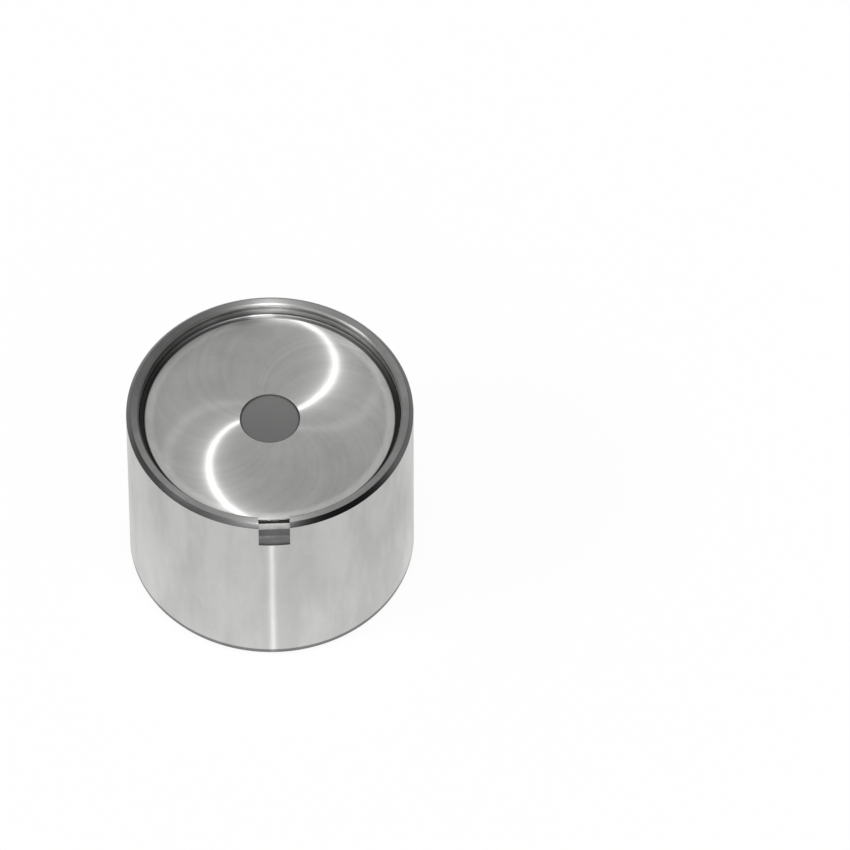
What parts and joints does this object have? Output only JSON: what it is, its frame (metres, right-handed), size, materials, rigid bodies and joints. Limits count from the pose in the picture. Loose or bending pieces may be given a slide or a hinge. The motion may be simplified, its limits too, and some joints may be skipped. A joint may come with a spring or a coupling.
{
  "type": "mechanical valve lifter",
  "caption": "Steel bucket valve lifter: thin ground skirt, crown with a shallow undercut shim pocket and a rim notch, and a boss inside that meets the valve stem.",
  "frame": {"origin": "on the lifter's axis, in the plane of the skirt's open end that it stands on", "axes": "+Z along the lifter's axis towards the crown, the way from the valve stem to the cam; the rim notch faces -Y"},
  "size_m": [0.035, 0.035, 0.0267],
  "materials": {
    "ground_steel": "fine ground, bright"
  },
  "bodies": {
    "root": {"lifter_bucket": "ground_steel"}
  },
  "joints": []
}
